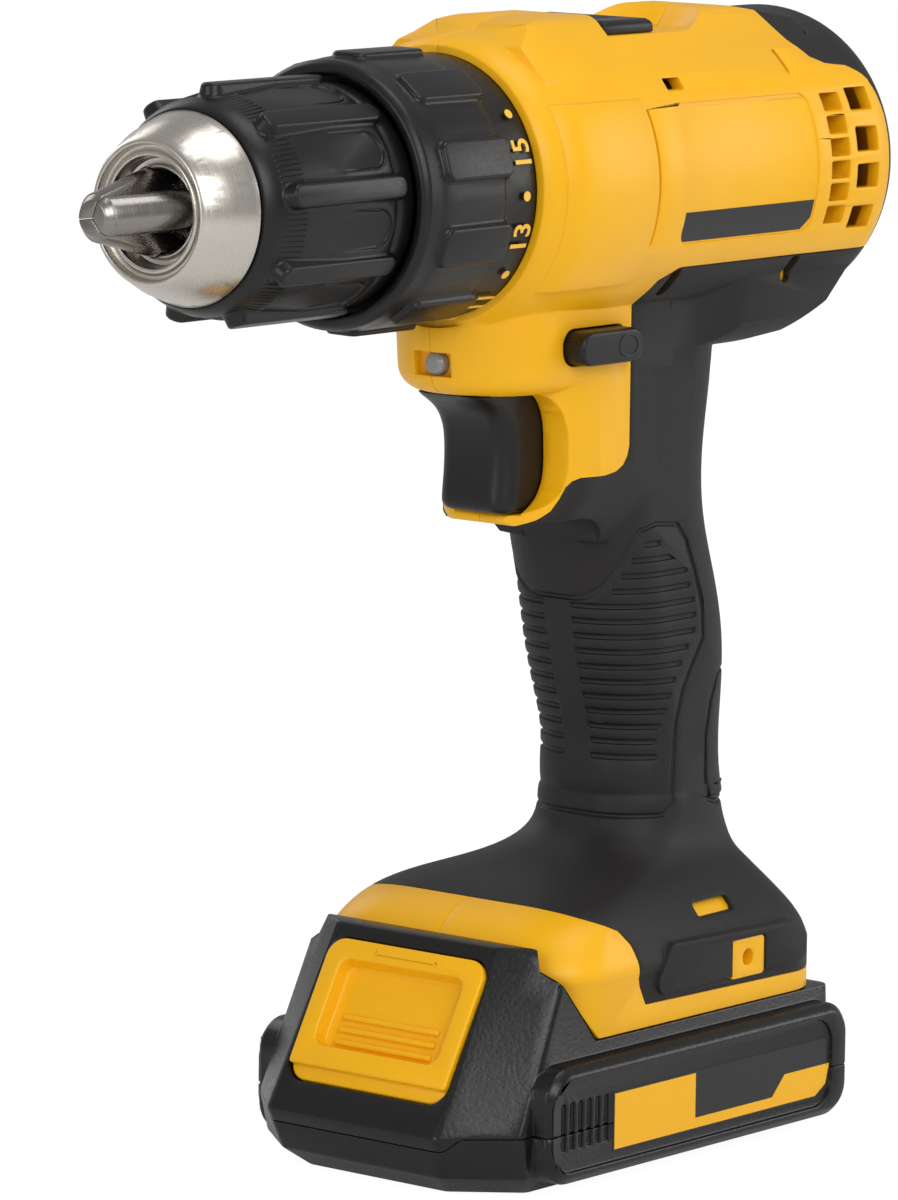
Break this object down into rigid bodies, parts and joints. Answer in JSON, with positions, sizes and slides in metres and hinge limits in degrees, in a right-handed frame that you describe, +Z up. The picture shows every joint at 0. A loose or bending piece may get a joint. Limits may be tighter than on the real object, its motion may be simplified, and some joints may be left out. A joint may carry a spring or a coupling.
{
  "type": "cordless drill driver",
  "caption": "Pistol-grip cordless drill driver with keyless chuck, torque collar, speed selector, planetary gearbox, sprung trigger and slide-on battery pack.",
  "frame": {"origin": "centre of the battery's resting face, directly under the spindle axis", "axes": "+X forward along the spindle towards the chuck, +Y to the operator's left, +Z up"},
  "size_m": [0.2098, 0.075, 0.2218],
  "materials": {
    "yellow_plastic": "satin moulded",
    "black_plastic": "fine spark-eroded texture",
    "rubber": "soft overmould",
    "collar_plastic": "satin moulded",
    "steel": "satin ground",
    "dark_steel": "oiled",
    "nickel": "satin nickel plate",
    "alloy": "die-cast",
    "copper": "enamelled copper",
    "bronze": "sintered bronze",
    "magnet": "ferrite",
    "clear_lens": "moulded lens",
    "inner_plastic": "moulded",
    "nylon": "natural nylon",
    "board": "solder mask",
    "cell_wrap": "shrink wrap",
    "wire": "vinyl insulation"
  },
  "bodies": {
    "body": {"housing_left": "yellow_plastic", "housing_right": "yellow_plastic", "grip_cover": "rubber", "rear_bumper": "rubber", "housing_screws": "dark_steel", "foot_inserts": "yellow_plastic", "led_lens": "clear_lens", "switch_module": "inner_plastic", "terminal_block": "inner_plastic", "wires": "wire", "gearbox_case": "alloy", "ring_gear_1": "dark_steel", "ring_gear_3": "dark_steel", "clutch_hardware": "steel", "clutch_spring": "steel", "bearings": "bronze", "motor_can": "steel", "motor_magnets": "magnet", "end_bell": "inner_plastic", "brushes": "magnet", "trigger_spring": "steel"},
    "trigger_part": {"trigger": "collar_plastic"},
    "direction": {"direction_button": "collar_plastic"},
    "selector": {"speed_selector": "collar_plastic", "shift_fork": "steel", "ring_gear_2": "steel"},
    "collar": {"clutch_collar": "collar_plastic"},
    "nut": {"clutch_nut": "nylon"},
    "rotor": {"motor_shaft": "steel", "armature": "dark_steel", "rotor_copper": "copper", "motor_fan": "nylon", "pinion": "steel"},
    "first_carrier": {"carrier_1": "steel"},
    "second_carrier": {"carrier_2": "steel"},
    "output": {"output_spindle": "steel", "chuck_body": "nickel", "chuck_screw": "dark_steel"},
    "chuck_grip": {"chuck_sleeve": "collar_plastic", "jaw_nut": "steel"},
    "jaw_1": {"chuck_jaw_1": "steel"},
    "jaw_2": {"chuck_jaw_2": "steel"},
    "jaw_3": {"chuck_jaw_3": "steel"},
    "pack": {"battery_bottom": "black_plastic", "battery_top": "black_plastic", "cells": "cell_wrap", "cell_tray": "inner_plastic", "battery_board": "board", "battery_contacts": "copper"},
    "latch": {"latch_button": "yellow_plastic"},
    "planet_body_1_1": {"planet_1_1": "nylon"},
    "planet_body_1_2": {"planet_1_2": "nylon"},
    "planet_body_1_3": {"planet_1_3": "nylon"},
    "planet_body_2_1": {"planet_2_1": "steel"},
    "planet_body_2_2": {"planet_2_2": "steel"},
    "planet_body_2_3": {"planet_2_3": "steel"},
    "planet_body_3_1": {"planet_3_1": "steel"},
    "planet_body_3_2": {"planet_3_2": "steel"},
    "planet_body_3_3": {"planet_3_3": "steel"}
  },
  "joints": [
    {"name": "trigger_pull", "type": "slide", "parent": "body", "child": "trigger_part", "axis": [-1, 0, 0], "range_m": [0, 0.007], "stiffness_N_per_m": 1200, "springref_m": -0.003, "deforming": ["trigger_spring"]},
    {"name": "direction_push", "type": "slide", "parent": "body", "child": "direction", "axis": [0, 1, 0], "range_m": [-0.003, 0.003]},
    {"name": "speed_shift", "type": "slide", "parent": "body", "child": "selector", "axis": [-1, 0, 0], "range_m": [0, 0.0055]},
    {"name": "clutch_turn", "type": "hinge", "parent": "body", "child": "collar", "pos_m": [0, 0, 0.1905], "axis": [1, 0, 0], "range_deg": [-18, 324]},
    {"name": "clutch_load", "type": "slide", "parent": "collar", "child": "nut", "axis": [1, 0, 0], "range_m": [-0.0005, 0.0074], "deforming": ["clutch_spring"]},
    {"name": "rotor_spin", "type": "hinge", "parent": "body", "child": "rotor", "pos_m": [0, 0, 0.1905], "axis": [1, 0, 0], "continuous": true},
    {"name": "carrier_1_spin", "type": "hinge", "parent": "body", "child": "first_carrier", "pos_m": [0, 0, 0.1905], "axis": [1, 0, 0], "continuous": true},
    {"name": "carrier_2_spin", "type": "hinge", "parent": "body", "child": "second_carrier", "pos_m": [0, 0, 0.1905], "axis": [1, 0, 0], "continuous": true},
    {"name": "chuck_spin", "type": "hinge", "parent": "body", "child": "output", "pos_m": [0, 0, 0.1905], "axis": [1, 0, 0], "continuous": true},
    {"name": "planet_1_1_spin", "type": "hinge", "parent": "first_carrier", "child": "planet_body_1_1", "pos_m": [0, 0.0105, 0.1905], "axis": [1, 0, 0], "continuous": true},
    {"name": "planet_1_2_spin", "type": "hinge", "parent": "first_carrier", "child": "planet_body_1_2", "pos_m": [0, -0.00525, 0.19959], "axis": [1, 0, 0], "continuous": true},
    {"name": "planet_1_3_spin", "type": "hinge", "parent": "first_carrier", "child": "planet_body_1_3", "pos_m": [0, -0.00525, 0.18141], "axis": [1, 0, 0], "continuous": true},
    {"name": "planet_2_1_spin", "type": "hinge", "parent": "second_carrier", "child": "planet_body_2_1", "pos_m": [0, 0.012, 0.1905], "axis": [1, 0, 0], "continuous": true},
    {"name": "planet_2_2_spin", "type": "hinge", "parent": "second_carrier", "child": "planet_body_2_2", "pos_m": [0, -0.006, 0.20089], "axis": [1, 0, 0], "continuous": true},
    {"name": "planet_2_3_spin", "type": "hinge", "parent": "second_carrier", "child": "planet_body_2_3", "pos_m": [0, -0.006, 0.18011], "axis": [1, 0, 0], "continuous": true},
    {"name": "planet_3_1_spin", "type": "hinge", "parent": "output", "child": "planet_body_3_1", "pos_m": [0, 0.01275, 0.1905], "axis": [1, 0, 0], "continuous": true},
    {"name": "planet_3_2_spin", "type": "hinge", "parent": "output", "child": "planet_body_3_2", "pos_m": [0, -0.00637, 0.20154], "axis": [1, 0, 0], "continuous": true},
    {"name": "planet_3_3_spin", "type": "hinge", "parent": "output", "child": "planet_body_3_3", "pos_m": [0, -0.00637, 0.17946], "axis": [1, 0, 0], "continuous": true},
    {"name": "sleeve_turn", "type": "hinge", "parent": "output", "child": "chuck_grip", "pos_m": [0, 0, 0.1905], "axis": [1, 0, 0], "range_deg": [0, 3600]},
    {"name": "jaw_1_slide", "type": "slide", "parent": "output", "child": "jaw_1", "axis": [-0.9703, 0.2396, 0.0337], "range_m": [0, 0.026]},
    {"name": "jaw_2_slide", "type": "slide", "parent": "output", "child": "jaw_2", "axis": [-0.9703, -0.1489, 0.1906], "range_m": [0, 0.026]},
    {"name": "jaw_3_slide", "type": "slide", "parent": "output", "child": "jaw_3", "axis": [-0.9703, -0.0906, -0.2243], "range_m": [0, 0.026]},
    {"name": "pack_slide", "type": "slide", "parent": "body", "child": "pack", "axis": [1, 0, 0], "range_m": [0, 0.1]},
    {"name": "latch_press", "type": "slide", "parent": "pack", "child": "latch", "axis": [-0.8706, 0, -0.4921], "range_m": [0, 0.0025], "stiffness_N_per_m": 3000, "springref_m": -0.001}
  ],
  "couplings": [
    {"joint": "clutch_load", "follows": "clutch_turn", "m_per_rad": 0.0012732},
    {"joint": "carrier_1_spin", "follows": "rotor_spin", "ratio": 0.2},
    {"joint": "carrier_2_spin", "follows": "rotor_spin", "ratio": 0.06},
    {"joint": "chuck_spin", "follows": "rotor_spin", "ratio": 0.02},
    {"joint": "planet_1_1_spin", "follows": "rotor_spin", "ratio": -0.53333},
    {"joint": "planet_1_2_spin", "follows": "rotor_spin", "ratio": -0.53333},
    {"joint": "planet_1_3_spin", "follows": "rotor_spin", "ratio": -0.53333},
    {"joint": "planet_2_1_spin", "follows": "rotor_spin", "ratio": -0.21},
    {"joint": "planet_2_2_spin", "follows": "rotor_spin", "ratio": -0.21},
    {"joint": "planet_2_3_spin", "follows": "rotor_spin", "ratio": -0.21},
    {"joint": "planet_3_1_spin", "follows": "rotor_spin", "ratio": -0.08},
    {"joint": "planet_3_2_spin", "follows": "rotor_spin", "ratio": -0.08},
    {"joint": "planet_3_3_spin", "follows": "rotor_spin", "ratio": -0.08},
    {"joint": "jaw_1_slide", "follows": "sleeve_turn", "m_per_rad": 0.0004138},
    {"joint": "jaw_2_slide", "follows": "sleeve_turn", "m_per_rad": 0.0004138},
    {"joint": "jaw_3_slide", "follows": "sleeve_turn", "m_per_rad": 0.0004138}
  ]
}
